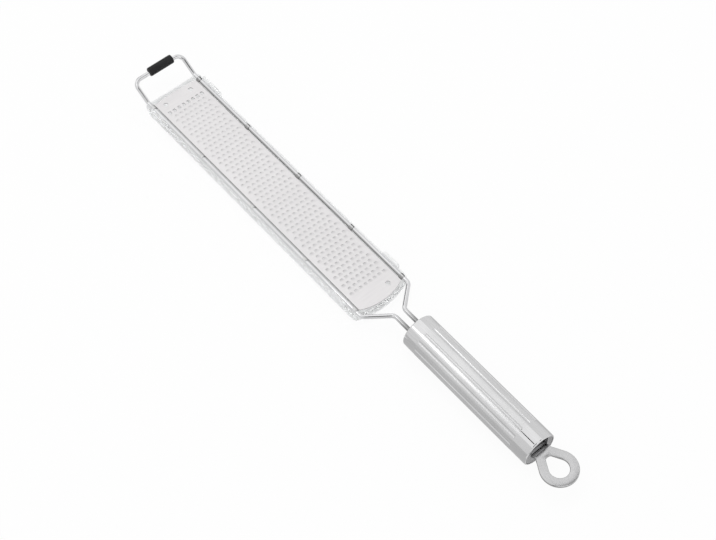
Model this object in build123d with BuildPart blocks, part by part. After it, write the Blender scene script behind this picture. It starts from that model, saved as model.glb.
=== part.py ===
from build123d import *
import os

os.makedirs("parts", exist_ok=True)

# Rasp zester: a long etched rasp plate carried in a bent wire frame, with a rubber foot on the
# tip, a clear guard under the plate, and a grooved tube handle that ends in a hanging loop.
# Lengths are millimetres and angles are degrees. +X runs from the tip to the loop and +Z is up.
# The origin is the middle of the tool's length and width, on the surface that it lies on.

# Wire frame
wire_diameter = 3.0
wire_bend_radius = 5.0
tip_straight = 3.9
tip_run = 15.5
tip_rise = 8.3
converge_start = 4.7
converge_run = 13.5
neck_straight = 16.5
neck_spacing = 7.6
tail_length = 20.0

# Rasp plate
plate_length = 212.9
plate_width = 34.7
plate_thickness = 0.5
plate_wire_gap = 0.5
plate_bow = 4.1
plate_tip_bow = 1.3
plate_corner = 1.0
hole_diameter = 3.3
tip_hole_distance = 4.4
rear_hole_distance = 3.5
hole_near_side = 9.4
hole_far_side = 11.3
row_pitch = 3.92
row_count = 49
row_start = 12.5
tooth_pitch = 3.8
tooth_columns = 8
slot_length = 1.7
slot_width = 2.3
first_slot_length = 2.8
tooth_width = 2.0
tooth_rise = 0.5
tooth_overhang = 1.1
tooth_edge = 0.25

# Folded tabs of the plate that hold it on the wire
tab_count = 5
tab_pitch_share = 0.252
tab_length = 3.0
tab_thickness = 0.5
tab_outer_reach = 0.9
tab_clearance = 0.05
tab_root_overlap = 0.2

# Rubber foot on the crossbar
foot_length = 18.9
foot_diameter = 6.3
foot_side_shift = 2.8
foot_lift = 0.7
foot_edge_radius = 0.6

# Guard
guard_gap = 0.3
guard_wall = 1.0
guard_floor = 1.2
guard_tip_overhang = 5.5
guard_corner = 4.0
guard_draft = 6.0
guard_bottom_radius = 1.6
guard_rim_drop = 0.8
ear_thickness = 1.7
ear_depth = 3.5
ear_rise = 2.0
tip_ear_start = 1.1
tip_ear_length = 20.0
rear_ear_start = 190.1
rear_ear_length = 15.0

# Handle tube
handle_diameter = 24.0
handle_length = 108.0
handle_wall = 1.0
handle_rim_radius = 0.9
groove_count = 12
groove_cutter_radius = 1.1
groove_depth = 0.5
groove_front_margin = 10.2
groove_rear_margin = 12.8
axis_over_plate = 1.7

# Plugs that close the tube
plug_fit = 0.05
front_plug_length = 5.0
end_cap_length = 6.0
end_cap_recess = 0.4
slot_side_clearance = 0.1
slot_over_neck = 0.7
pocket_depth = 2.5

# Hanging loop
loop_outer_radius = 12.0
loop_hole_radius = 6.3
loop_point_radius = 1.0
loop_point_spacing = 2.6
loop_point_reach = 9.7
loop_reach = 16.25
loop_thickness = 1.8
neck_width = 12.5
neck_drop = 0.9
loop_lift = 1.2
step_run = 2.6
step_inset = 0.8
neck_inner_length = 13.0
step_bend_radius = 1.2

# One overrun for every cut that goes right through
overrun = 2.0

# Levels above the surface that the tool lies on
handle_radius = handle_diameter / 2
axis_z = handle_radius
plate_top = axis_z - axis_over_plate
plate_bottom = plate_top - plate_thickness
wire_radius = wire_diameter / 2
wire_z = plate_top - plate_thickness / 2
crossbar_z = wire_z + tip_rise

# Places along the tool, first from the plate's tip edge
leg_y = plate_width / 2 + plate_wire_gap + wire_radius
crossbar_x = -(tip_straight + tip_run)
foot_end = crossbar_x - foot_diameter / 2
neck_start = plate_length + converge_start + converge_run
handle_front = neck_start + neck_straight
handle_rear = handle_front + handle_length
loop_center = handle_rear + loop_reach
loop_end = loop_center + loop_outer_radius

# The same places from the origin
plate_tip = -(foot_end + loop_end) / 2
crossbar_x = crossbar_x + plate_tip
neck_start = neck_start + plate_tip
converge_x = plate_tip + plate_length + converge_start
plate_rear = plate_tip + plate_length
handle_front = handle_front + plate_tip
handle_rear = handle_rear + plate_tip
loop_center = loop_center + plate_tip
neck_y = neck_spacing / 2
bore_radius = handle_radius - handle_wall


# Wire frame: one wire from the handle round the tip and back
with BuildPart() as wire_frame:
    with BuildLine() as route:
        FilletPolyline(
            (handle_front + tail_length, neck_y, axis_z),
            (neck_start, neck_y, axis_z),
            (converge_x, leg_y, wire_z),
            (plate_tip - tip_straight, leg_y, wire_z),
            (crossbar_x, leg_y, crossbar_z),
            (crossbar_x, -leg_y, crossbar_z),
            (plate_tip - tip_straight, -leg_y, wire_z),
            (converge_x, -leg_y, wire_z),
            (neck_start, -neck_y, axis_z),
            (handle_front + tail_length, -neck_y, axis_z),
            radius=wire_bend_radius,
        )
    with BuildSketch(Plane(origin=route.wire() @ 0, z_dir=route.wire() % 0)):
        Circle(wire_radius)
    sweep()
wire_frame.part.label = "wire_frame"
export_step(wire_frame.part, "parts/wire_frame.step")


# Rasp plate: a thin sheet with staggered rows of raised teeth, each over its own slot.
# The row nearest the tip has open slots alone. The other rows are strips, one pitch long.
first_row = plate_tip + row_start
strips_front = first_row + row_pitch / 2
strips_length = (row_count - 1) * row_pitch
tab_outer_radius = wire_radius + tab_clearance + tab_thickness
tab_places = [tab * tab_pitch_share * plate_length for tab in range(tab_count - 1)]
tab_places.append(plate_length - tab_length)
tab_root_y = plate_width / 2 - tab_root_overlap
tab_root_width = leg_y - tab_outer_radius + tab_thickness / 2 - tab_root_y
slot_rear = slot_length / 2

# A tooth: a tongue that rises from the handle side of its slot and leans over it to the tip
with BuildPart() as tooth:
    with BuildSketch(Plane.XZ):
        Polygon(
            (slot_rear, plate_bottom),
            (slot_rear, plate_top),
            (slot_rear - tooth_overhang, plate_top + tooth_rise),
            (slot_rear - tooth_overhang, plate_top + tooth_rise - tooth_edge),
            align=None,
        )
    extrude(amount=tooth_width / 2, both=True)


def toothed_strip(columns):
    """One row of the plate: a strip across it with so many slots and teeth."""
    with BuildPart() as strip:
        with BuildSketch(Plane.XY.offset(plate_bottom)):
            Rectangle(row_pitch, plate_width)
            with GridLocations(row_pitch, tooth_pitch, 1, columns):
                Rectangle(slot_length, slot_width, mode=Mode.SUBTRACT)
        extrude(amount=plate_thickness)
        with GridLocations(row_pitch, tooth_pitch, 1, columns):
            add(tooth.part)
    return strip.part


whole_row = toothed_strip(tooth_columns)
between_row = toothed_strip(tooth_columns - 1)

with BuildPart() as rasp_plate:
    with BuildSketch(Plane.XY.offset(plate_bottom)) as sheet:
        with BuildLine():
            Line((plate_tip, -plate_width / 2), (plate_rear, -plate_width / 2))
            ThreePointArc(
                (plate_rear, -plate_width / 2),
                (plate_rear + plate_bow, 0),
                (plate_rear, plate_width / 2),
            )
            Line((plate_rear, plate_width / 2), (plate_tip, plate_width / 2))
            ThreePointArc(
                (plate_tip, plate_width / 2),
                (plate_tip - plate_tip_bow, 0),
                (plate_tip, -plate_width / 2),
            )
        make_face()
        fillet(sheet.vertices(), radius=plate_corner)
        with Locations((strips_front + strips_length / 2, 0)):
            Rectangle(strips_length, plate_width, mode=Mode.SUBTRACT)
        with Locations(
            (plate_tip + tip_hole_distance, hole_near_side),
            (plate_tip + tip_hole_distance, -hole_far_side),
            (plate_rear - rear_hole_distance, hole_near_side),
        ):
            Circle(hole_diameter / 2, mode=Mode.SUBTRACT)
        with Locations((first_row + slot_rear - first_slot_length / 2, 0)):
            with GridLocations(row_pitch, tooth_pitch, 1, tooth_columns):
                Rectangle(first_slot_length, slot_width, mode=Mode.SUBTRACT)
    extrude(amount=plate_thickness)
    with Locations([(first_row + row * row_pitch, 0) for row in range(2, row_count, 2)]):
        add(whole_row, clean=False)
    with Locations([(first_row + row * row_pitch, 0) for row in range(1, row_count, 2)]):
        add(between_row)

    # Tabs: tongues of the sheet that cross the gap and fold over the top of both wires
    for tab_place in tab_places:
        with BuildSketch(Plane.YZ.offset(plate_tip + tab_place)):
            with Locations((leg_y, wire_z), (-leg_y, wire_z)):
                Circle(tab_outer_radius)
            with Locations((leg_y, wire_z), (-leg_y, wire_z)):
                Circle(wire_radius + tab_clearance, mode=Mode.SUBTRACT)
            with Locations((0, plate_bottom)):
                Rectangle(
                    2 * (leg_y + tab_outer_reach),
                    2 * tab_outer_radius,
                    align=(Align.CENTER, Align.MIN),
                    mode=Mode.INTERSECT,
                )
            for side in (1, -1):
                with Locations((side * (tab_root_y + tab_root_width / 2), wire_z)):
                    Rectangle(tab_root_width, plate_thickness)
    extrude(amount=tab_length)
rasp_plate.part.label = "rasp_plate"
export_step(rasp_plate.part, "parts/rasp_plate.step")


# Tip foot: a rubber sleeve on the crossbar, a little to one side
with BuildPart() as tip_foot:
    with BuildSketch(Plane.XZ.offset(-foot_side_shift - foot_length / 2)):
        with Locations((crossbar_x, crossbar_z + foot_lift)):
            Circle(foot_diameter / 2)
    extrude(amount=foot_length)
    fillet(tip_foot.edges().filter_by(GeomType.CIRCLE), radius=foot_edge_radius)
    with BuildSketch(Plane.XZ.offset(-foot_side_shift - foot_length / 2)):
        with Locations((crossbar_x, crossbar_z)):
            Circle(wire_radius)
    extrude(amount=foot_length, mode=Mode.SUBTRACT)
tip_foot.part.label = "tip_foot"
export_step(tip_foot.part, "parts/tip_foot.step")


# Guard: a clear tray under the plate that draws off over the tip
guard_inner_y = leg_y + wire_radius + guard_gap
guard_outer_y = guard_inner_y + guard_wall
guard_rim = plate_top - guard_rim_drop
end_rim = wire_z - wire_radius - guard_gap
guard_tip = plate_tip - guard_tip_overhang
guard_rear = plate_rear + guard_wall

with BuildPart() as guard:
    with BuildSketch(Plane.XY.offset(guard_rim)) as outline:
        with BuildLine():
            Polyline(
                (guard_rear, guard_outer_y),
                (guard_tip, guard_outer_y),
                (guard_tip, -guard_outer_y),
                (guard_rear, -guard_outer_y),
            )
            ThreePointArc(
                (guard_rear, -guard_outer_y),
                (guard_rear + plate_bow, 0),
                (guard_rear, guard_outer_y),
            )
        make_face()
        fillet(outline.vertices(), radius=guard_corner)
    extrude(amount=-guard_rim, taper=guard_draft)
    fillet(guard.faces().sort_by(Axis.Z)[0].edges(), radius=guard_bottom_radius)
    with BuildSketch(Plane.XY.offset(guard_rim)):
        offset(outline.sketch, amount=-guard_wall)
    extrude(amount=guard_floor - guard_rim, taper=guard_draft, mode=Mode.SUBTRACT)
    # The end walls stay below the wires, so that they pass under them
    with BuildSketch(Plane.XY.offset(end_rim)):
        with Locations(((guard_tip + guard_rear) / 2, 0)):
            Rectangle(guard_rear - guard_tip + 2 * plate_bow + overrun, 2 * guard_inner_y)
    extrude(amount=guard_rim - end_rim + overrun, mode=Mode.SUBTRACT)
    # Four ears that stand up beside the wires
    with BuildSketch(Plane.XY.offset(guard_rim - ear_depth)):
        for side in (1, -1):
            with Locations((plate_tip + tip_ear_start, side * guard_inner_y)):
                Rectangle(
                    tip_ear_length,
                    ear_thickness,
                    align=(Align.MIN, Align.MIN if side > 0 else Align.MAX),
                )
            with Locations((plate_tip + rear_ear_start, side * guard_inner_y)):
                Rectangle(
                    rear_ear_length,
                    ear_thickness,
                    align=(Align.MIN, Align.MIN if side > 0 else Align.MAX),
                )
    extrude(amount=ear_depth + guard_rim_drop + ear_rise)
guard.part.label = "guard"
export_step(guard.part, "parts/guard.step")


# Handle tube with twelve long rounded grooves
groove_start = handle_front + groove_front_margin + groove_cutter_radius
groove_end = handle_rear - groove_rear_margin - groove_cutter_radius
groove_circle = handle_radius - groove_depth + groove_cutter_radius
half_groove_step = 360 / groove_count / 2

with BuildPart() as handle_tube:
    with BuildSketch(Plane.YZ.offset(handle_front)):
        with Locations((0, axis_z)):
            Circle(handle_radius)
    extrude(amount=handle_length)
    fillet(handle_tube.edges().filter_by(GeomType.CIRCLE), radius=handle_rim_radius)
    with BuildSketch(Plane.YZ.offset(groove_start)):
        with Locations((0, axis_z)):
            with PolarLocations(groove_circle, groove_count, start_angle=90 + half_groove_step):
                Circle(groove_cutter_radius)
    extrude(amount=groove_end - groove_start, mode=Mode.SUBTRACT)
    for ball_x in (groove_start, groove_end):
        with Locations(Plane(origin=(ball_x, 0, axis_z), x_dir=(0, 0, 1), z_dir=(1, 0, 0))):
            with PolarLocations(groove_circle, groove_count, start_angle=half_groove_step):
                Sphere(groove_cutter_radius, mode=Mode.SUBTRACT)
    with BuildSketch(Plane.YZ.offset(handle_front - overrun)):
        with Locations((0, axis_z)):
            Circle(bore_radius)
    extrude(amount=handle_length + 2 * overrun, mode=Mode.SUBTRACT)
handle_tube.part.label = "handle_tube"
export_step(handle_tube.part, "parts/handle_tube.step")


# Front plug: closes the tube and holds both wires
with BuildPart() as front_plug:
    with BuildSketch(Plane.YZ.offset(handle_front)):
        with Locations((0, axis_z)):
            Circle(bore_radius - plug_fit)
        with Locations((neck_y, axis_z), (-neck_y, axis_z)):
            Circle(wire_radius + plug_fit, mode=Mode.SUBTRACT)
    extrude(amount=front_plug_length)
front_plug.part.label = "front_plug"
export_step(front_plug.part, "parts/front_plug.step")


# End cap: closes the tube's rear, with a slot for the neck of the loop and a pocket over it
neck_z = axis_z - neck_drop
slot_floor = neck_z - loop_thickness / 2
slot_span = neck_width + 2 * slot_side_clearance
cap_rear = handle_rear - end_cap_recess

with BuildPart() as end_cap:
    with BuildSketch(Plane.YZ.offset(cap_rear - end_cap_length)):
        with Locations((0, axis_z)):
            Circle(bore_radius - plug_fit)
        with Locations((0, slot_floor)):
            Rectangle(
                slot_span,
                loop_thickness + slot_over_neck,
                align=(Align.CENTER, Align.MIN),
                mode=Mode.SUBTRACT,
            )
    extrude(amount=end_cap_length)
    with BuildSketch(Plane.YZ.offset(cap_rear - pocket_depth)):
        with Locations((0, slot_floor)):
            Rectangle(slot_span, handle_diameter, align=(Align.CENTER, Align.MIN))
    extrude(amount=pocket_depth + overrun, mode=Mode.SUBTRACT)
end_cap.part.label = "end_cap"
export_step(end_cap.part, "parts/end_cap.step")


# Hanging loop: a flat teardrop ring whose neck steps down into the tube
flat_z = axis_z + loop_lift
step_start = handle_rear - step_inset
step_end = step_start + step_run
neck_end = handle_rear - neck_inner_length
flat_start = step_end + step_bend_radius

with BuildPart() as hanging_loop:
    with BuildSketch(Plane.XZ.offset(-neck_width / 2)):
        with BuildLine():
            FilletPolyline(
                (neck_end, neck_z),
                (step_start, neck_z),
                (step_end, flat_z),
                (flat_start + step_run, flat_z),
                radius=step_bend_radius,
            )
        trace(line_width=loop_thickness)
    extrude(amount=neck_width)
    with BuildSketch(Plane.XY.offset(flat_z - loop_thickness / 2)) as teardrop:
        with Locations((loop_center, 0)):
            Circle(loop_outer_radius)
        with Locations((flat_start, 0)):
            Rectangle(step_run, neck_width, align=(Align.MIN, Align.CENTER))
        make_hull()
        with BuildSketch(Plane.XY, mode=Mode.PRIVATE) as loop_hole:
            with Locations((loop_center, 0)):
                Circle(loop_hole_radius)
            with Locations((loop_center - loop_point_reach + loop_point_radius, 0)):
                with GridLocations(loop_point_spacing, loop_point_spacing, 1, 2):
                    Circle(loop_point_radius)
            make_hull()
        add(loop_hole.sketch, mode=Mode.SUBTRACT)
    extrude(amount=loop_thickness)
hanging_loop.part.label = "hanging_loop"
export_step(hanging_loop.part, "parts/hanging_loop.step")

print("overall length", round(loop_end - foot_end, 2))
print("wire length", round(route.wire().length, 1))
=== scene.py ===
import bmesh
import bpy
import math
from mathutils import Matrix, Vector


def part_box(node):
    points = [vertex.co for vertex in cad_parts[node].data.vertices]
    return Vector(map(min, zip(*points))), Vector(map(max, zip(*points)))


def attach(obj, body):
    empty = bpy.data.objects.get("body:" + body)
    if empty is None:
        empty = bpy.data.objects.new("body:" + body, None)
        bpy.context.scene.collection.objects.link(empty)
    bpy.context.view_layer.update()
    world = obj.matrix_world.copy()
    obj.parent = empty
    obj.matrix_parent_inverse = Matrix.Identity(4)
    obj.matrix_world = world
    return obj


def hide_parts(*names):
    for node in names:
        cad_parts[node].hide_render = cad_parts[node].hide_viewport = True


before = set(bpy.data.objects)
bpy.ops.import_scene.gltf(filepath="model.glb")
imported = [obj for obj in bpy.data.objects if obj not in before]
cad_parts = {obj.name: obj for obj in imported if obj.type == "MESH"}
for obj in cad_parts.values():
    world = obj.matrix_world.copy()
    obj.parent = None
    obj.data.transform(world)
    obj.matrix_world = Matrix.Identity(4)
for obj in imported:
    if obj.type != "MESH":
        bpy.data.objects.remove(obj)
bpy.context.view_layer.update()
bpy.ops.object.select_all(action="DESELECT")
mm = 0.001

# Wire frame: one length of polished 3 mm stainless wire. It leaves the handle as two prongs,
# opens out to the width of the plate, runs along both of its edges and turns up over the tip.
# It is bent cold round a small former, so all its corners have the same radius.
wire_thick = 3.0 * mm
wire_bend = 5.0 * mm
wire_sides = 24
wire_end_inset = 0.4 * mm
tool_axis = 12.0 * mm
wire_level = 10.05 * mm
leg_side = 19.35 * mm
prong_side = 3.8 * mm
prong_end = 50.45 * mm
shoulder = 36.95 * mm
leg_end = -184.55 * mm
crossbar_x = -200.05 * mm
crossbar_z = 18.35 * mm
weld_reach = 0.01 * mm
double_reach = 0.002 * mm

# Corners of half the wire, from inside the handle to the middle of the crossbar
wire_half = [
    Vector((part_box("wire_frame")[1].x, prong_side, tool_axis)),
    Vector((prong_end, prong_side, tool_axis)),
    Vector((shoulder, leg_side, wire_level)),
    Vector((leg_end, leg_side, wire_level)),
    Vector((crossbar_x, leg_side, crossbar_z)),
    Vector((crossbar_x, 0.0, crossbar_z)),
]


def single_out(piece):
    """Leaves edit mode and makes the piece the only selected one."""
    if bpy.context.mode != "OBJECT":
        bpy.ops.object.mode_set(mode="OBJECT")
    bpy.ops.object.select_all(action="DESELECT")
    piece.select_set(True)
    bpy.context.view_layer.objects.active = piece


def open_piece(piece):
    """Opens the piece for editing with nothing picked."""
    single_out(piece)
    bpy.ops.object.mode_set(mode="EDIT")
    bpy.ops.mesh.select_all(action="DESELECT")


def from_primitive(size=(1, 1, 1)):
    """Takes the primitive just added as a piece, with its place, turn and size in its mesh."""
    piece = bpy.context.object
    piece.scale = size
    bpy.ops.object.transform_apply(location=True, rotation=True, scale=True)
    return piece


def pick(kind, rule):
    """Picks the open piece's verts, edges or faces whose middle passes the rule."""
    bpy.ops.mesh.select_mode(type={"verts": "VERT", "edges": "EDGE", "faces": "FACE"}[kind])
    bpy.ops.mesh.select_all(action="DESELECT")
    mesh = bpy.context.object.data
    shape = bmesh.from_edit_mesh(mesh)
    for part in getattr(shape, kind):
        if kind == "verts":
            middle = part.co
        elif kind == "edges":
            middle = (part.verts[0].co + part.verts[1].co) / 2
        else:
            middle = part.calc_center_median()
        if rule(middle, part):
            part.select_set(True)
    bmesh.update_edit_mesh(mesh)


def apply_modifier(piece, kind, **settings):
    """Gives the piece a modifier with these settings, and applies it to the mesh."""
    single_out(piece)
    modifier = piece.modifiers.new(kind.lower(), kind)
    for setting, value in settings.items():
        setattr(modifier, setting, value)
    bpy.ops.object.modifier_apply(modifier=modifier.name)


def settle_faces(piece):
    """Merges doubled corners and makes all the piece's faces point the same way."""
    open_piece(piece)
    bpy.ops.mesh.select_all(action="SELECT")
    bpy.ops.mesh.remove_doubles(threshold=double_reach)
    bpy.ops.mesh.normals_make_consistent(inside=False)
    bpy.ops.object.mode_set(mode="OBJECT")


def close_piece(piece, name, angle=35):
    """Ends the editing, puts the place into the mesh and smooths all but the sharp corners."""
    single_out(piece)
    bpy.ops.object.transform_apply(location=True, rotation=True, scale=True)
    bpy.ops.object.shade_smooth_by_angle(angle=math.radians(angle))
    piece.name = name
    piece.data.name = name
    bpy.ops.object.select_all(action="DESELECT")


def draw_along(corners, bend, steps_per_turn):
    """Draws the picked edges along straight runs, with a round bend at each corner between."""
    here = corners[0]
    for before, corner, after in zip(corners, corners[1:], corners[2:]):
        coming = (corner - before).normalized()
        going = (after - corner).normalized()
        turn = coming.angle(going)
        setback = bend * math.tan(turn / 2)
        side = (going - coming * coming.dot(going)).normalized()
        bend_start = corner - coming * setback
        bpy.ops.mesh.extrude_region_move(TRANSFORM_OT_translate={"value": bend_start - here})
        bpy.ops.mesh.spin(
            steps=max(2, round(steps_per_turn * turn / math.tau)),
            angle=turn,
            center=bend_start + side * bend,
            axis=side.cross(coming),
        )
        here = corner + going * setback
    bpy.ops.mesh.extrude_region_move(TRANSFORM_OT_translate={"value": corners[-1] - here})


bpy.ops.mesh.primitive_circle_add(
    vertices=wire_sides, radius=wire_thick / 2, location=wire_half[0], rotation=(0, math.pi / 2, 0)
)
wire = from_primitive()
open_piece(wire)
bpy.ops.mesh.select_all(action="SELECT")
draw_along(wire_half, wire_bend, steps_per_turn=64)
apply_modifier(wire, "MIRROR", use_axis=(False, True, False), merge_threshold=weld_reach)
open_piece(wire)
for side in (1, -1):
    pick("edges", lambda at, edge: edge.is_boundary and at.y * side > 0)
    bpy.ops.mesh.edge_face_add()
    bpy.ops.mesh.inset(thickness=wire_end_inset)
settle_faces(wire)
close_piece(wire, "bent_wire")


def set_inputs(tree, node, values):
    """Sets a node's inputs by name, each to another node's output or to a plain value."""
    for name, value in values.items():
        if isinstance(value, bpy.types.NodeSocket):
            tree.links.new(value, node.inputs[name])
        else:
            node.inputs[name].default_value = value


def add_node(tree, kind, values, **settings):
    """Adds a node of a kind, with its settings and its inputs."""
    node = tree.nodes.new(kind)
    for setting, value in settings.items():
        setattr(node, setting, value)
    set_inputs(tree, node, values)
    return node


def math_of(tree, operation, *values):
    """What a math node makes of outputs and plain numbers."""
    node = add_node(tree, "ShaderNodeMath", dict(enumerate(values)), operation=operation)
    return node.outputs[0]


def noise_of(tree, place, scale, detail):
    """A cloudy mask over a place."""
    values = {"Vector": place, "Scale": scale, "Detail": detail}
    return add_node(tree, "ShaderNodeTexNoise", values).outputs["Fac"]


def range_of(tree, value, low, high, start=0.0, end=1.0):
    """Maps a value's run from low to high onto a run from start to end."""
    limits = {"From Min": low, "From Max": high, "To Min": start, "To Max": end}
    return add_node(tree, "ShaderNodeMapRange", {"Value": value, **limits}).outputs["Result"]


def ramp_of(tree, mask, dark, light, low=0.0, high=1.0):
    """A colour that runs from dark to light where a mask runs from low to high."""
    ramp = add_node(tree, "ShaderNodeValToRGB", {"Fac": mask})
    for stop, position, colour in zip(ramp.color_ramp.elements, (low, high), (dark, light)):
        stop.position = position
        stop.color = (*colour, 1)
    return ramp.outputs["Color"]


def bump_of(tree, height, strength, distance):
    """The surface's normals with a relief of this height."""
    values = {"Height": height, "Strength": strength, "Distance": distance}
    return add_node(tree, "ShaderNodeBump", values).outputs["Normal"]


def mix_of(tree, kind, share, below, above):
    """Goes from below to above with the share. The kind is RGBA for colours, FLOAT for numbers."""
    values = {"Factor": share, "A": below, "B": above}
    return add_node(tree, "ShaderNodeMix", values, data_type=kind).outputs["Result"]


def axis_of(tree, place, axis):
    """One coordinate of a place."""
    return add_node(tree, "ShaderNodeSeparateXYZ", {"Vector": place}).outputs[axis]


def new_finish(name):
    """A material, its nodes and shader, and the object's own coordinates to pattern it by."""
    finish = bpy.data.materials.new(name)
    finish.use_nodes = True
    tree = finish.node_tree
    place = tree.nodes.new("ShaderNodeTexCoord").outputs["Object"]
    return finish, tree, tree.nodes["Principled BSDF"], place


def wear_group():
    """Fine drawn lines along one way and a few soft rubbed patches, for all the steel pieces."""
    group = bpy.data.node_groups.new("steel_surface", "ShaderNodeTree")
    for name in ("Place", "Line Stretch"):
        group.interface.new_socket(name=name, in_out="INPUT", socket_type="NodeSocketVector")
    for name in ("Line Depth", "Patch Scale", "Low", "High"):
        group.interface.new_socket(name=name, in_out="INPUT", socket_type="NodeSocketFloat")
    for name in ("Roughness", "Tone", "Height"):
        group.interface.new_socket(name=name, in_out="OUTPUT", socket_type="NodeSocketFloat")
    given = group.nodes.new("NodeGroupInput").outputs
    stretched = add_node(
        group,
        "ShaderNodeVectorMath",
        {0: given["Place"], 1: given["Line Stretch"]},
        operation="MULTIPLY",
    )
    lines = noise_of(group, stretched.outputs[0], 1.0, 3.0)
    patches = noise_of(group, given["Place"], given["Patch Scale"], 4.0)
    tone = math_of(group, "MULTIPLY_ADD", lines, 0.5, math_of(group, "MULTIPLY", patches, 0.5))
    made = {
        "Roughness": range_of(group, tone, 0.3, 0.7, given["Low"], given["High"]),
        "Tone": tone,
        "Height": math_of(group, "MULTIPLY", lines, given["Line Depth"]),
    }
    add_node(group, "NodeGroupOutput", made)
    return group


steel_surface = wear_group()


def steel_finish(name, dark, light, low, high, stretch, line_depth, patch_scale):
    """Bare stainless steel: its grey runs from dark to light and its gloss from low to high."""
    finish, tree, shader, place = new_finish(name)
    wear = {
        "Place": place,
        "Line Stretch": stretch,
        "Line Depth": line_depth,
        "Patch Scale": patch_scale,
        "Low": low,
        "High": high,
    }
    surface = add_node(tree, "ShaderNodeGroup", {}, node_tree=steel_surface)
    set_inputs(tree, surface, wear)
    looks = {
        "Base Color": ramp_of(tree, surface.outputs["Tone"], dark, light, 0.35, 0.65),
        "Roughness": surface.outputs["Roughness"],
        "Metallic": 1.0,
        "Normal": bump_of(tree, surface.outputs["Height"], 0.3, 0.02 * mm),
    }
    set_inputs(tree, shader, looks)
    return finish


def darken(finish, tone, outside, inside, axis="Y", socket="Object", folded=True, span=None):
    """Mixes a grey into a finish, from none at one measure to all of it at the other.

    A folded measure is the same on both sides of the middle. A span keeps the grey between
    two places along the object.
    """
    tree = finish.node_tree
    colour = tree.nodes["Principled BSDF"].inputs["Base Color"]
    coordinates = tree.nodes["Texture Coordinate"].outputs
    measure = axis_of(tree, coordinates[socket], axis)
    if folded:
        measure = math_of(tree, "ABSOLUTE", measure)
    share = range_of(tree, measure, outside, inside)
    for rule, limit in zip(("GREATER_THAN", "LESS_THAN"), span or ()):
        within = math_of(tree, rule, axis_of(tree, coordinates["Object"], "X"), limit)
        share = math_of(tree, "MULTIPLY", share, within)
    plain = colour.links[0].from_socket
    tree.links.new(mix_of(tree, "RGBA", share, plain, (tone, tone, tone, 1)), colour)


wire_polish = steel_finish(
    "polished_wire",
    dark=(0.74, 0.74, 0.75),
    light=(0.84, 0.84, 0.85),
    low=0.03,
    high=0.07,
    stretch=(60.0, 1500.0, 1500.0),
    line_depth=0.3,
    patch_scale=60.0,
)
# Painted reflection: beside the sheet the wire is greyed where it would mirror the dark gap
beside_sheet = (-180.5 * mm, 31.5 * mm)
gap_shade = (18.9 * mm, 18.3 * mm)
handle_mouth_shade = (50.0 * mm, 62.0 * mm)
darken(wire_polish, 0.46, *gap_shade, span=beside_sheet)
# Painted shade where the prongs go into the mouth of the handle
darken(wire_polish, 0.32, *handle_mouth_shade, axis="X", folded=False)
wire.data.materials.append(wire_polish)
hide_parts("wire_frame")
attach(wire, "rasp")

# Rasp plate: half a millimetre of stainless sheet with 49 staggered rows. Each tooth is a
# sharp lip, raised from the handle side of its slot, and the row at the tip is open slots.
# Ten tongues of the sheet's long edges are folded over the wires and hold it in the frame.
plate_length = 212.9 * mm
plate_half = 17.35 * mm
plate_thick = 0.5 * mm
plate_top = 10.3 * mm
plate_corner = 1.0 * mm
tip_bow = 1.3 * mm
rear_bow = 4.1 * mm
tip_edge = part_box("rasp_plate")[0].x + tip_bow
rear_edge = tip_edge + plate_length
row_pitch = 3.92 * mm
row_count = 49
tooth_pitch = 3.8 * mm
tooth_columns = 8
first_row = tip_edge + 12.5 * mm
tile_cells = 4
cell_width = tooth_pitch / tile_cells
rim_half = (1.3 * mm, 1.45 * mm)
rim_corner_shares = (0.86, 0.82, 1)
rim_ring = 0.2 * mm
lip_start = 0.3 * mm
lip_reach = 1.1 * mm
lip_rise = 0.5 * mm
lip_root_shares = (0.3, 0.55)
lip_side_share = 0.2
lip_thin_share = 0.45
slot_lengthening = 1.05 * mm
close = 0.05 * mm

# One tooth in its own square of sheet, and one of the open slots that the tip row has
bpy.ops.mesh.primitive_grid_add(x_subdivisions=tile_cells, y_subdivisions=tile_cells, size=1)
tooth_tile = bpy.context.object
open_piece(tooth_tile)
bpy.ops.mesh.select_all(action="SELECT")
bpy.ops.transform.resize(value=(row_pitch, tooth_pitch, 1))
pick("verts", lambda at, vert: not vert.is_boundary)
bpy.ops.transform.resize(
    value=(rim_half[0] / (row_pitch / tile_cells), rim_half[1] / cell_width, 1)
)
pick("verts", lambda at, vert: not vert.is_boundary and abs(at.x) > close and abs(at.y) > close)
bpy.ops.transform.resize(value=rim_corner_shares)
pick("faces", lambda at, face: all(not vert.is_boundary for vert in face.verts))
bpy.ops.mesh.inset(thickness=rim_ring)
bpy.ops.mesh.inset(thickness=rim_ring)
bpy.ops.mesh.delete(type="FACE")


def copy_of(piece):
    """A second piece with its own mesh."""
    single_out(piece)
    twin = piece.copy()
    twin.data = piece.data.copy()
    bpy.context.scene.collection.objects.link(twin)
    return twin


def inside_ring(at, grown):
    """Whether a place in the tile lies within the slot's edge, grown by so much."""
    return (
        abs(at.x) < rim_half[0] - 2 * rim_ring + grown + close
        and abs(at.y) < rim_half[1] - 2 * rim_ring + grown + close
    )


slot_tile = copy_of(tooth_tile)
open_piece(slot_tile)
pick(
    "verts",
    lambda at, vert: at.x < close - row_pitch / 2
    or (at.x < -close and abs(at.y) < tooth_pitch / 2 - close),
)
bpy.ops.transform.translate(value=(-slot_lengthening, 0, 0))

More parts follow.
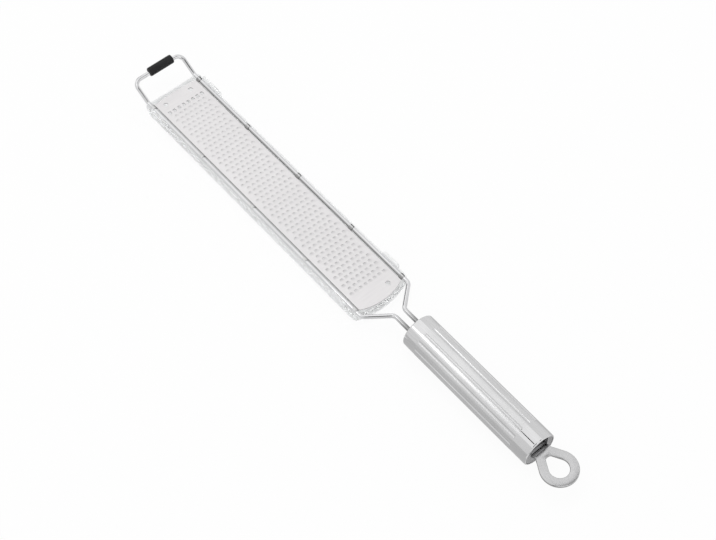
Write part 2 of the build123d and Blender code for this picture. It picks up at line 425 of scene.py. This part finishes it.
open_piece(tooth_tile)
pick("verts", lambda at, vert: inside_ring(at, 0) and at.x > lip_start)
bpy.ops.transform.translate(value=(-lip_reach, 0, lip_rise))
pick("verts", lambda at, vert: inside_ring(at, rim_ring) and at.x > lip_start)
bpy.ops.transform.translate(
    value=(-lip_root_shares[0] * lip_reach, 0, lip_root_shares[1] * lip_rise)
)
pick("verts", lambda at, vert: inside_ring(at, rim_ring) and abs(at.x) < close and at.z < close)
bpy.ops.transform.translate(value=(0, 0, lip_side_share * lip_rise))
bpy.ops.object.mode_set(mode="OBJECT")
for tile in (tooth_tile, slot_tile):
    sheet = tile.vertex_groups.new(name="sheet")
    sheet.add([vert.index for vert in tile.data.vertices], 1.0, "REPLACE")
    lip = [vert.index for vert in tile.data.vertices if vert.co.z > lip_rise - close]
    sheet.add(lip, lip_thin_share, "REPLACE")


def shift(piece, move):
    """Moves the whole of a piece's mesh."""
    open_piece(piece)
    bpy.ops.mesh.select_all(action="SELECT")
    bpy.ops.transform.translate(value=move)
    bpy.ops.object.mode_set(mode="OBJECT")


def repeated(piece, count, step):
    """Repeats a piece along a step, and welds each copy to the one before."""
    apply_modifier(
        piece,
        "ARRAY",
        count=count,
        use_relative_offset=False,
        use_constant_offset=True,
        constant_offset_displace=step,
        use_merge_vertices=True,
        merge_threshold=weld_reach,
    )


def row_of(tile, columns, blank_steps):
    """A whole row across the sheet: its tiles, and the blank margins at both sides."""
    row = copy_of(tile)
    shift(row, (0, -tooth_pitch * (columns - 1) / 2, 0))
    repeated(row, columns, (0, tooth_pitch, 0))
    open_piece(row)
    for side in (1, -1):
        edge_y = side * tooth_pitch * columns / 2
        for step in blank_steps:
            pick("edges", lambda at, edge: abs(at.y - edge_y) < close and edge.is_boundary)
            bpy.ops.mesh.extrude_region_move(
                TRANSFORM_OT_translate={"value": (0, side * step, 0)}
            )
            edge_y += side * step
    bpy.ops.object.mode_set(mode="OBJECT")
    return row


def join(others, whole):
    """Makes the other pieces part of this one."""
    single_out(whole)
    for piece in others:
        piece.select_set(True)
    bpy.ops.object.join()


margin = plate_half - tooth_pitch * tooth_columns / 2
slots_row = row_of(slot_tile, tooth_columns, [margin])
plate = row_of(tooth_tile, tooth_columns, [margin])
between_rows = row_of(tooth_tile, tooth_columns - 1, [cell_width, cell_width, margin])
for rows, first in ((slots_row, 0), (between_rows, 1), (plate, 2)):
    shift(rows, (first_row + first * row_pitch, 0, plate_top))
    if first:
        repeated(rows, (row_count - 1) // 2, (2 * row_pitch, 0, 0))
for tile in (tooth_tile, slot_tile):
    bpy.data.objects.remove(tile)
join([slots_row, between_rows], plate)
open_piece(plate)
bpy.ops.mesh.select_all(action="SELECT")
bpy.ops.mesh.remove_doubles(threshold=weld_reach)

# Blank ends of the sheet, each cut to a bow, the one by the handle deeper
rows_start = first_row - row_pitch / 2 - slot_lengthening
rows_end = first_row + (row_count - 0.5) * row_pitch
tip_hole = tip_edge + 4.4 * mm
rear_hole = rear_edge - 3.5 * mm
hole_side = 9.4 * mm
far_hole_side = 11.3 * mm
hole_round = 3.3 * mm
hole_ring = 0.25 * mm
hole_lines = [2.0 * mm, 1.0 * mm, 0.0, -1.0 * mm, -2.0 * mm]


def draw_blank_end(edge_x, way, hole_x, end_x, bow):
    """Draws the sheet out past the place of its holes, then bridges it to a bowed end."""
    for line in hole_lines:
        pick("edges", lambda at, edge: abs(at.x - edge_x) < close and edge.is_boundary)
        stop = hole_x - way * line
        bpy.ops.mesh.extrude_region_move(TRANSFORM_OT_translate={"value": (stop - edge_x, 0, 0)})
        edge_x = stop
    bow_radius = (plate_half**2 + bow**2) / (2 * bow)
    pick("verts", lambda at, vert: (at - Vector((edge_x, plate_half, plate_top))).length < close)
    bpy.ops.mesh.duplicate_move(TRANSFORM_OT_translate={"value": (end_x - edge_x, 0, 0)})
    bpy.ops.mesh.spin(
        steps=tooth_columns * tile_cells + 2,
        angle=2 * math.asin(plate_half / bow_radius),
        center=(end_x + way * (bow - bow_radius), 0, plate_top),
        axis=(0, 0, way),
    )
    pick(
        "edges",
        lambda at, edge: way * (at.x - end_x) > -close
        or (abs(at.x - edge_x) < close and edge.is_boundary),
    )
    bpy.ops.mesh.bridge_edge_loops()


draw_blank_end(rows_start, -1, tip_hole, tip_edge, tip_bow)
draw_blank_end(rows_end, 1, rear_hole, rear_edge, rear_bow)


def drill(hole_x, hole_y):
    """Opens a round hole in the blank sheet, inside a square of its faces."""
    line = round(hole_y / cell_width) * cell_width
    reach = Vector((hole_lines[0], tooth_pitch / 2))
    pick("faces", lambda at, face: abs(at.x - hole_x) < reach.x and abs(at.y - line) < reach.y)
    bpy.ops.mesh.inset(thickness=hole_ring)
    bpy.ops.mesh.delete(type="FACE")
    reach -= Vector((hole_ring - close, hole_ring - close))
    pick("verts", lambda at, vert: abs(at.x - hole_x) < reach.x and abs(at.y - line) < reach.y)
    bpy.ops.transform.tosphere(value=1)
    middle = Vector((hole_x, line, plate_top))
    shape = bmesh.from_edit_mesh(plate.data)
    radii = [(vert.co - middle).length for vert in shape.verts if vert.select]
    growth = hole_round / 2 / (sum(radii) / len(radii))
    bpy.ops.transform.resize(value=(growth, growth, 1))
    bpy.ops.transform.translate(value=(0, hole_y - line, 0))


drill(tip_hole, hole_side)
drill(tip_hole, -far_hole_side)
drill(rear_hole, hole_side)
pick(
    "verts",
    lambda at, vert: abs(at.y) > plate_half - close
    and (at.x < tip_edge + close or at.x > rear_edge - close),
)
bpy.ops.mesh.bevel(offset=plate_corner, segments=4, affect="VERTICES")
bpy.ops.mesh.select_all(action="SELECT")
bpy.ops.mesh.normals_make_consistent(inside=False)
pick("faces", lambda at, face: face.normal.z < 0)
bpy.ops.mesh.flip_normals()
apply_modifier(plate, "SOLIDIFY", thickness=plate_thick, offset=-1, vertex_group="sheet")

# One folded tab for each side, then its four copies
tab_length = 3.0 * mm
tab_moves = (53.65 * mm, 107.3 * mm, 160.95 * mm, plate_length - tab_length)
tab_clearance = 0.05 * mm
tab_round = wire_thick / 2 + tab_clearance + plate_thick / 2
tab_inner = leg_side - tab_round
tab_turn = math.radians(120)
tab_soft_edge = 0.12 * mm
tabs = []
for side in (1, -1):
    bpy.ops.mesh.primitive_plane_add(
        size=1,
        location=(tip_edge + tab_length / 2, side * (tab_inner + plate_half) / 2, wire_level),
    )
    tab = from_primitive((tab_length, tab_inner - plate_half, 1))
    open_piece(tab)
    pick("edges", lambda at, edge: abs(at.y) > tab_inner - close)
    bpy.ops.mesh.spin(
        steps=10, angle=tab_turn, center=(0, side * leg_side, wire_level), axis=(side, 0, 0)
    )
    apply_modifier(tab, "SOLIDIFY", thickness=plate_thick, offset=0)
    apply_modifier(tab, "BEVEL", width=tab_soft_edge, segments=2)
    settle_faces(tab)
    tabs.append(tab)
    for move in tab_moves:
        twin = copy_of(tab)
        shift(twin, (move, 0, 0))
        tabs.append(twin)
join(tabs, plate)
close_piece(plate, "toothed_plate", angle=50)

plate_satin = steel_finish(
    "satin_plate",
    dark=(0.81, 0.795, 0.80),
    light=(0.89, 0.875, 0.88),
    low=0.34,
    high=0.46,
    stretch=(2500.0, 60.0, 200.0),
    line_depth=0.4,
    patch_scale=25.0,
)
# Painted shade greys the sideways walls of holes and slots, darkest in the tip row and the holes
sideways_shade = {"outside": 0.45, "inside": 0.25, "axis": "Z", "socket": "Normal"}
tip_row_end = first_row + row_pitch / 2
darken(plate_satin, 0.45, **sideways_shade)
darken(plate_satin, 0.18, **sideways_shade, span=(tip_edge, tip_row_end))
darken(plate_satin, 0.18, **sideways_shade, span=(rows_end, rear_edge))
# Teeth are greyer towards their lips, and the tabs, which stand higher, aren't
# The grey is partly the etched lips' own duller tone and partly painted shade
lip_grey = (0.76, 0.75, 0.755, 1)
tree = plate_satin.node_tree
colour = tree.nodes["Principled BSDF"].inputs["Base Color"]
height = axis_of(tree, tree.nodes["Texture Coordinate"].outputs["Object"], "Z")
raised = range_of(tree, height, plate_top + 0.10 * mm, plate_top + 0.40 * mm)
under_tabs = math_of(tree, "LESS_THAN", height, plate_top + 0.6 * mm)
lip_share = math_of(tree, "MULTIPLY", raised, under_tabs)
tree.links.new(mix_of(tree, "RGBA", lip_share, colour.links[0].from_socket, lip_grey), colour)
# Painted shade: the sheet's edge is dark beside the gap to the wire
darken(plate_satin, 0.12, plate_half - 0.22 * mm, plate_half - 0.10 * mm)
# Painted on each tab: shade beside the sheet, a highlight over the wire, shade at its end on +Y
darken(plate_satin, 0.38, plate_half + 0.02 * mm, plate_half + 0.05 * mm)
darken(plate_satin, 0.74, 18.3 * mm, 18.9 * mm)
darken(plate_satin, 0.10, 19.45 * mm, 19.60 * mm, folded=False)
plate.data.materials.clear()
plate.data.materials.append(plate_satin)
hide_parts("rasp_plate")
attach(plate, "rasp")

# Tip foot: a short sleeve of black rubber hose pushed over the crossbar before the wire is
# bent. It keeps the tip from sliding on a board, and sits a little to one side.
foot_length = 18.9 * mm
foot_round = 3.15 * mm
foot_side = 2.8 * mm
foot_lift = 0.7 * mm
foot_soft_edge = 0.6 * mm
foot_bore = wire_thick / 2 + 0.2 * mm
foot_bore_edge = 0.15 * mm
foot_bore_depth = 1.2 * mm
bpy.ops.mesh.primitive_cylinder_add(
    vertices=40,
    radius=foot_round,
    depth=foot_length,
    location=(crossbar_x, foot_side, crossbar_z + foot_lift),
    rotation=(math.pi / 2, 0, 0),
)
foot = from_primitive()
open_piece(foot)
for end in (1, -1):
    pick("faces", lambda at, face: len(face.verts) > 4 and end * (at.y - foot_side) > 0)
    bpy.ops.mesh.inset(thickness=foot_round - foot_bore)
    bpy.ops.transform.translate(value=(0, 0, -foot_lift))
    bpy.ops.mesh.inset(thickness=foot_bore_edge)
    bpy.ops.transform.translate(value=(0, -end * foot_bore_depth, 0))
pick(
    "edges",
    lambda at, edge: abs(edge.verts[0].co.y - edge.verts[1].co.y) < close
    and abs(abs(at.y - foot_side) - foot_length / 2) < close
    and math.hypot(at.x - crossbar_x, at.z - crossbar_z - foot_lift) > foot_round - 2 * close,
)
bpy.ops.mesh.bevel(offset=foot_soft_edge, segments=4)
settle_faces(foot)
close_piece(foot, "rubber_foot")

foot_rubber, tree, shader, place = new_finish("black_rubber")
grain = noise_of(tree, place, 1800.0, 4.0)
cloud = noise_of(tree, place, 220.0, 3.0)
rubber_looks = {
    "Base Color": ramp_of(tree, cloud, (0.004, 0.004, 0.005), (0.014, 0.014, 0.015), 0.3, 0.75),
    "Roughness": range_of(tree, grain, 0.0, 1.0, 0.42, 0.62),
    "Specular IOR Level": 0.3,
    "Normal": bump_of(tree, grain, 0.5, 0.03 * mm),
}
set_inputs(tree, shader, rubber_looks)
foot.data.materials.append(foot_rubber)
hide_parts("tip_foot")
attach(foot, "rasp")

# Guard: a thin tray moulded in clear plastic with drafted walls, which covers the plate's
# underside and catches the gratings. Four ears stand up beside the wires and keep it on the
# frame while it slides off over the tip.
guard_tip = tip_edge - 5.5 * mm
guard_rear = rear_edge + 1.0 * mm
guard_half = 22.15 * mm
guard_bow = rear_bow
guard_rim = 9.5 * mm
guard_end_rim = 8.25 * mm
guard_wall = 1.0 * mm
guard_draft = guard_rim * math.tan(math.radians(6))
guard_corner = 3.2 * mm
guard_floor_bend = 1.6 * mm
guard_soft_rim = 0.25 * mm
side_rim_width = 1.2 * mm
bow_cuts = 23
bpy.ops.mesh.primitive_plane_add(size=1, location=((guard_tip + guard_rear) / 2, 0, 0))
tray = from_primitive((guard_rear - guard_tip - 2 * guard_draft, 2 * (guard_half - guard_draft), 1))
open_piece(tray)
pick("edges", lambda at, edge: at.x > 0)
bpy.ops.mesh.subdivide(number_cuts=bow_cuts)
for cut in range(1, bow_cuts + 1):
    share = 2 * cut / (bow_cuts + 1) - 1
    across = share * (guard_half - guard_draft)
    pick("verts", lambda at, vert: at.x > 0 and abs(at.y - across) < close)
    bpy.ops.transform.translate(value=(guard_bow * (1 - share**2), 0, 0))
pick("verts", lambda at, vert: abs(at.y) > guard_half - guard_draft - close)
bpy.ops.mesh.bevel(offset=guard_corner, segments=8, affect="VERTICES")
bpy.ops.mesh.select_all(action="SELECT")
bpy.ops.mesh.extrude_region_move(TRANSFORM_OT_translate={"value": (0, 0, guard_rim)})
long_way = guard_rear + guard_bow - guard_tip
bpy.ops.transform.resize(
    value=(long_way / (long_way - 2 * guard_draft), guard_half / (guard_half - guard_draft), 1),
    center_override=((guard_tip + guard_rear + guard_bow) / 2, 0, guard_rim),
)
bpy.ops.mesh.delete(type="ONLY_FACE")
pick("edges", lambda at, edge: at.z < close)
bpy.ops.mesh.bevel(offset=guard_floor_bend, segments=5)
pick("verts", lambda at, vert: at.z > guard_rim - close and abs(at.y) < guard_half - side_rim_width)
bpy.ops.transform.translate(value=(0, 0, guard_end_rim - guard_rim))
settle_faces(tray)
apply_modifier(tray, "SOLIDIFY", thickness=guard_wall, offset=-1)
apply_modifier(tray, "BEVEL", width=guard_soft_rim, segments=3, angle_limit=math.radians(50))

# Ears: where each starts behind the plate's tip edge, and its length
ear_runs = ((1.1 * mm, 20.0 * mm), (190.1 * mm, 15.0 * mm))
ear_inner = 21.15 * mm
ear_thick = 1.7 * mm
ear_low = 6.0 * mm
ear_high = 12.3 * mm
ear_corner = 2.0 * mm
ear_soft_edge = 0.3 * mm
ear_sharp = 0.6
for ear_start, ear_length in ear_runs:
    for side in (1, -1):
        bpy.ops.mesh.primitive_cube_add(
            size=1,
            location=(
                tip_edge + ear_start + ear_length / 2,
                side * (ear_inner + ear_thick / 2),
                (ear_low + ear_high) / 2,
            ),
        )
        ear = from_primitive((ear_length, ear_thick, ear_high - ear_low))
        open_piece(ear)
        pick(
            "edges",
            lambda at, edge: at.z > ear_high - close
            and abs(edge.verts[0].co.x - edge.verts[1].co.x) < close,
        )
        bpy.ops.mesh.bevel(offset=ear_corner, segments=6)
        pick("edges", lambda at, edge: edge.calc_face_angle(0) > ear_sharp)
        bpy.ops.mesh.bevel(offset=ear_soft_edge, segments=3)
        apply_modifier(tray, "BOOLEAN", operation="UNION", solver="EXACT", object=ear)
        bpy.data.objects.remove(ear)
open_piece(tray)
pick("verts", lambda at, vert: at.z < 0)
bpy.ops.transform.resize(value=(1, 1, 0), center_override=(0, 0, 0))
settle_faces(tray)
close_piece(tray, "clear_guard", angle=40)

guard_clear, tree, shader, place = new_finish("clear_plastic")
haze = noise_of(tree, place, 90.0, 3.0)
plastic_looks = {
    "Base Color": ramp_of(tree, haze, (0.965, 0.97, 0.972), (0.985, 0.99, 0.99)),
    "Roughness": range_of(tree, haze, 0.0, 1.0, 0.34, 0.46),
    "Transmission Weight": 0.62,
    "IOR": 1.03,
    "Normal": bump_of(tree, haze, 0.15, 0.05 * mm),
}
set_inputs(tree, shader, plastic_looks)
tray.data.materials.append(guard_clear)
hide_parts("guard")
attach(tray, "guard")

# Handle tube: a drawn stainless tube with a rolled rim at both ends and twelve long grooves
# pressed into it for grip. It is brushed along the grooves and polished outside them.
handle_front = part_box("handle_tube")[0].x
handle_length = 108.0 * mm
handle_round = 12.0 * mm
handle_wall = 1.0 * mm
handle_ends = (handle_front, handle_front + handle_length)
outer_rim = 0.9 * mm
inner_rim = 0.12 * mm
groove_start = handle_front + 10.2 * mm
groove_stop = handle_front + handle_length - 12.8 * mm
groove_taper = 1.0 * mm
groove_step = 360 / 12
groove_half = 5
# Each step of a groove's side: how far in, and how far down
groove_sides = ((0.12 * mm, 0.0), (0.24 * mm, 0.26 * mm), (0.28 * mm, 0.24 * mm))
bpy.ops.mesh.primitive_cylinder_add(
    vertices=72,
    radius=handle_round,
    depth=handle_length,
    location=(handle_front + handle_length / 2, 0, tool_axis),
    rotation=(0, math.pi / 2, 0),
)
tube = from_primitive()
open_piece(tube)
for cut in (groove_start, groove_start + groove_taper, groove_stop - groove_taper, groove_stop):
    bpy.ops.mesh.select_all(action="SELECT")
    bpy.ops.mesh.bisect(plane_co=(cut, 0, tool_axis), plane_no=(1, 0, 0))


def off_groove(at):
    """How many degrees a place on the tube is from the middle of the nearest groove."""
    angle = math.degrees(math.atan2(at.z - tool_axis, at.y))
    return abs((angle % groove_step) - groove_step / 2)


def off_axis(at):
    """How far a place is from the middle line of the handle."""
    return math.hypot(at.y, at.z - tool_axis)


def at_end(at):
    """Whether a place lies in one of the tube's two end planes."""
    return min(abs(at.x - end) for end in handle_ends) < close


pick("faces", lambda at, face: groove_start < at.x < groove_stop and off_groove(at) < groove_half)
for inward, drop in groove_sides:
    bpy.ops.mesh.inset(thickness=inward)
    smaller = 1 - drop / handle_round
    bpy.ops.transform.resize(
        value=(1, smaller, smaller), center_override=(handle_front, 0, tool_axis)
    )
pick("faces", lambda at, face: len(face.verts) > 4)
bpy.ops.mesh.inset(thickness=handle_wall)
bpy.ops.mesh.delete(type="FACE")
pick("edges", lambda at, edge: edge.is_boundary)
bpy.ops.mesh.bridge_edge_loops()
pick("edges", lambda at, edge: at_end(at) and off_axis(at) > handle_round - 2 * close)
bpy.ops.mesh.bevel(offset=outer_rim, segments=3)
pick(
    "edges",
    lambda at, edge: at_end(at)
    and off_axis(at) < handle_round - handle_wall + 2 * close
    and abs(edge.verts[0].co.x - edge.verts[1].co.x) < close,
)
bpy.ops.mesh.bevel(offset=inner_rim, segments=2)
settle_faces(tube)
apply_modifier(tube, "SUBSURF", levels=2, render_levels=2)
close_piece(tube, "grooved_tube", angle=60)

handle_steel = steel_finish(
    "brushed_tube",
    dark=(0.70, 0.70, 0.705),
    light=(0.80, 0.80, 0.805),
    low=0.19,
    high=0.27,
    stretch=(90.0, 2200.0, 2200.0),
    line_depth=0.5,
    patch_scale=30.0,
)
polished_gloss = 0.09
brushed_middle = (groove_start + groove_stop) / 2
brushed_reach = (groove_stop - groove_start) / 2
tree = handle_steel.node_tree
gloss = tree.nodes["Principled BSDF"].inputs["Roughness"]
along = axis_of(tree, tree.nodes["Texture Coordinate"].outputs["Object"], "X")
away = math_of(tree, "ABSOLUTE", math_of(tree, "SUBTRACT", along, brushed_middle))
buffed = range_of(tree, away, brushed_reach - 0.5 * mm, brushed_reach + 1.0 * mm)
tree.links.new(mix_of(tree, "FLOAT", buffed, gloss.links[0].from_socket, polished_gloss), gloss)
tube.data.materials.append(handle_steel)
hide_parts("handle_tube")
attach(tube, "rasp")

# Plugs of the tube: a steel disc at the front that both prongs are welded through, and one at
# the rear with a slot for the loop. Both are the frame's own solids, pressed into the bore.
plug_steel = steel_finish(
    "pressed_plug",
    dark=(0.38, 0.38, 0.385),
    light=(0.50, 0.50, 0.505),
    low=0.40,
    high=0.55,
    stretch=(700.0, 120.0, 700.0),
    line_depth=0.3,
    patch_scale=90.0,
)
for node in ("front_plug", "end_cap"):
    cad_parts[node].material_slots[0].material = plug_steel

# Hanging loop: a teardrop blanked from 1.8 mm stainless strip, its edges tumbled smooth. Its
# neck is cranked down by a little over its thickness and goes through the rear plug.
loop_level = 13.2 * mm
loop_place = Vector((191.2 * mm, 0, loop_level))
loop_round = 12.0 * mm
loop_hole = 6.3 * mm
loop_thick = 1.8 * mm
loop_soft_edge = 0.5 * mm
ring_sides = 48
neck_turn = 124
neck_half = 6.25 * mm
neck_corner = 177.95 * mm
neck_level = 11.1 * mm
crank_bend = 1.2 * mm
crank = [
    Vector((neck_corner, 0, loop_level)),
    Vector((176.75 * mm, 0, loop_level)),
    Vector((174.15 * mm, 0, neck_level)),
    Vector((161.95 * mm, 0, neck_level)),
]
blunt_turn = 121
blunt_shares = (0.3, 0.43, 1)
blunt_move = 7.81 * mm
bpy.ops.mesh.primitive_circle_add(vertices=ring_sides, radius=loop_round, location=loop_place)
loop = from_primitive()
bpy.ops.mesh.primitive_circle_add(vertices=ring_sides, radius=loop_hole, location=loop_place)
eye = from_primitive()
join([eye], loop)


def turned(at):
    """How many degrees a place on the loop is from the end away from the handle."""
    return math.degrees(abs(math.atan2(at.y, at.x - loop_place.x)))


def on_outline(at):
    """Whether a place lies on the loop's outer circle."""
    return (at - loop_place).length > loop_round - close


open_piece(loop)
pick("verts", lambda at, vert: on_outline(at) and turned(at) > neck_turn)
bpy.ops.mesh.delete(type="VERT")
for side in (1, -1):
    pick(
        "verts",
        lambda at, vert: on_outline(at)
        and turned(at) > neck_turn - 360 / ring_sides
        and side * at.y > 0,
    )
    shape = bmesh.from_edit_mesh(loop.data)
    end = [vert.co.copy() for vert in shape.verts if vert.select][0]
    corner = Vector((neck_corner, side * neck_half, loop_place.z))
    bpy.ops.mesh.extrude_region_move(TRANSFORM_OT_translate={"value": corner - end})
pick("verts", lambda at, vert: abs(at.x - neck_corner) < close and abs(at.y) > neck_half - close)
bpy.ops.mesh.edge_face_add()
pick(
    "verts",
    lambda at, vert: (at - loop_place).length < loop_hole + close and turned(at) > blunt_turn,
)
bpy.ops.transform.resize(value=blunt_shares, center_override=loop_place)
bpy.ops.transform.translate(value=(-blunt_move, 0, 0))
bpy.ops.mesh.select_all(action="SELECT")
bpy.ops.mesh.fill()
pick("edges", lambda at, edge: abs(at.x - neck_corner) < close and abs(at.y) < close)
draw_along(crank, crank_bend, steps_per_turn=72)
bpy.ops.mesh.select_all(action="SELECT")
bpy.ops.mesh.normals_make_consistent(inside=False)
apply_modifier(loop, "SOLIDIFY", thickness=loop_thick, offset=0, use_even_offset=True)
apply_modifier(loop, "BEVEL", width=loop_soft_edge, segments=4, angle_limit=math.radians(45))
settle_faces(loop)
close_piece(loop, "teardrop_loop", angle=20)

loop_steel = steel_finish(
    "tumbled_loop",
    dark=(0.57, 0.57, 0.575),
    light=(0.67, 0.67, 0.675),
    low=0.17,
    high=0.25,
    stretch=(900.0, 900.0, 900.0),
    line_depth=0.5,
    patch_scale=70.0,
)
# Painted shade: faces that turn sideways, such as the rounded edges, are greyed
darken(loop_steel, 0.30, 0.60, 0.30, axis="Z", socket="Normal")
loop.data.materials.append(loop_steel)
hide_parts("hanging_loop")
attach(loop, "rasp")

# Studio: a pale floor with no edge in view, an even sky and two soft lamps. Grey and black
# boards stand where the polished steel would otherwise mirror nothing but white.
white = (1, 1, 1, 1)
ground_shares = (0.93, 0.35, 1.0)
sky_shares = (1.0, 1.0, 1.0)
sky_strength = 0.8


def seen_rays(tree, shares):
    """How much of the white ground camera, glossy and transmission rays see, in that order."""
    rays = tree.nodes.new("ShaderNodeLightPath").outputs
    seen = 0.0
    for kind, share in zip(("Is Camera Ray", "Is Glossy Ray", "Is Transmission Ray"), shares):
        seen = math_of(tree, "MAXIMUM", seen, math_of(tree, "MULTIPLY", rays[kind], share))
    return seen


bpy.ops.mesh.primitive_plane_add(size=12, location=(0, 0, -0.02 * mm))
floor = bpy.context.object
floor.name = "studio_floor"
floor_paper, tree, shader, place = new_finish("floor_paper")
paper_looks = {
    "Base Color": ramp_of(tree, noise_of(tree, place, 300.0, 2.0), (0.93,) * 3, (0.95,) * 3),
    "Roughness": 1.0,
    "Specular IOR Level": 0.0,
}
set_inputs(tree, shader, paper_looks)
glow = add_node(tree, "ShaderNodeEmission", {"Color": white, "Strength": 1.0})
ground_parts = {
    "Fac": seen_rays(tree, ground_shares),
    1: shader.outputs["BSDF"],
    2: glow.outputs["Emission"],
}
ground = add_node(tree, "ShaderNodeMixShader", ground_parts)
tree.links.new(ground.outputs["Shader"], tree.nodes["Material Output"].inputs["Surface"])
floor.data.materials.append(floor_paper)

sky = bpy.data.worlds.new("studio_sky")
bpy.context.scene.world = sky
sky.use_nodes = True
tree = sky.node_tree
ambient = tree.nodes["Background"]
set_inputs(tree, ambient, {"Color": white, "Strength": sky_strength})
bright = add_node(tree, "ShaderNodeBackground", {"Color": white, "Strength": 1.0})
sky_parts = {
    "Fac": seen_rays(tree, sky_shares),
    1: ambient.outputs["Background"],
    2: bright.outputs["Background"],
}
sight = add_node(tree, "ShaderNodeMixShader", sky_parts)
tree.links.new(sight.outputs["Shader"], tree.nodes["World Output"].inputs["Surface"])


def board(name, grey, middle, size, facing):
    """A flat board that only reflections see."""
    bpy.ops.mesh.primitive_plane_add(size=1, location=middle)
    card = bpy.context.object
    card.name = name
    card.scale = (*size, 1)
    card.rotation_mode = "QUATERNION"
    card.rotation_quaternion = Vector(facing).to_track_quat("Z", "Y")
    finish = bpy.data.materials.new(name)
    finish.use_nodes = True
    tree = finish.node_tree
    glow = add_node(tree, "ShaderNodeEmission", {"Color": (grey, grey, grey, 1)})
    tree.links.new(glow.outputs["Emission"], tree.nodes["Material Output"].inputs["Surface"])
    card.data.materials.append(finish)
    card.visible_camera = False
    card.visible_diffuse = False
    card.visible_transmission = False
    card.visible_shadow = False


board("grey_board_near", 0.78, (-0.3, -0.9, 0.5), (2.8, 1.0), (0, 1, 0))
board("grey_board_near_low", 0.58, (-0.2, -0.48, 0.6 * mm), (2.0, 0.84), (0, 0, 1))
board("grey_board_far", 0.80, (-0.3, 0.9, 0.65), (2.8, 1.3), (0, -1, 0))
board("grey_board_far_low", 0.74, (-0.2, 0.48, 0.6 * mm), (2.0, 0.84), (0, 0, 1))
board("grey_board_handle", 0.58, (0.12, -0.036, 0.6 * mm), (0.14, 0.048), (0, 0, 1))
board("black_beam_legs", 0.15, (0.105, -0.05, 0.87), (0.05, 1.1), (0, 0, 1))
board("black_beam_prong", 0.01, (0.35, -0.35, 0.87), (0.38, 0.50), (0, 0, 1))
board("black_beam_crossbar", 0.01, (0.35, 0.36, 0.87), (0.38, 0.22), (0, 0, 1))
board("black_seam_over", 0.01, (-0.09, -0.285, 0.86), (0.16, 0.08), (0, 0, 1))
board("black_beam_side", 0.01, (0.62, -0.775, 0.87), (0.44, 0.35), (0, 0, 1))
board("black_board_tip", 0.01, (-1.0, 0.05, 0.26), (0.4, 0.38), (1, 0, 0))
board("grey_board_handle_far", 0.60, (0.12, 0.036, 0.6 * mm), (0.14, 0.048), (0, 0, 1))


def lamp(name, middle, size, power, aim, mirrored):
    """A rectangular soft lamp that points at a place on the object, seen in the steel or not."""
    bpy.ops.object.light_add(type="AREA", location=middle)
    light = bpy.context.object
    light.name = name
    light.data.shape = "RECTANGLE"
    light.data.size, light.data.size_y = size
    light.data.energy = power
    light.rotation_mode = "QUATERNION"
    light.rotation_quaternion = (Vector(middle) - Vector(aim)).to_track_quat("Z", "Y")
    light.visible_glossy = mirrored


lamp("soft_lamp_over", (-0.35, 0.1, 1.3), (1.0, 0.8), 3.0, (0, 0, 0), False)
lamp("soft_lamp_side", (-0.30, -0.438, 0.81), (0.20, 0.13), 0.14, (-0.30, 0, 0), True)

# Camera: it stands where the photograph was taken from, above the object and a little behind
# its handle, and looks through a long lens. The focal length is in the photograph's pixels.
photo_width = 716
photo_focal = 1616
film_width = 36.0
eye_place = Vector((0.437525, -0.3537, 0.8590))
eye_right = Vector((0.6455, 0.7637, -0.0063)).normalized()
eye_back = Vector((0.4221, -0.3498, 0.8363)).normalized()
eye_up = eye_back.cross(eye_right).normalized()
eye_turn = Matrix((eye_right, eye_up, eye_back)).transposed()
bpy.ops.object.camera_add(location=eye_place, rotation=eye_turn.to_euler())
camera = bpy.context.object
camera.data.sensor_width = film_width
camera.data.lens = photo_focal / photo_width * film_width
camera.data.clip_start = 0.05
camera.data.clip_end = 30.0
bpy.context.scene.camera = camera
bpy.context.scene.view_settings.view_transform = "Standard"
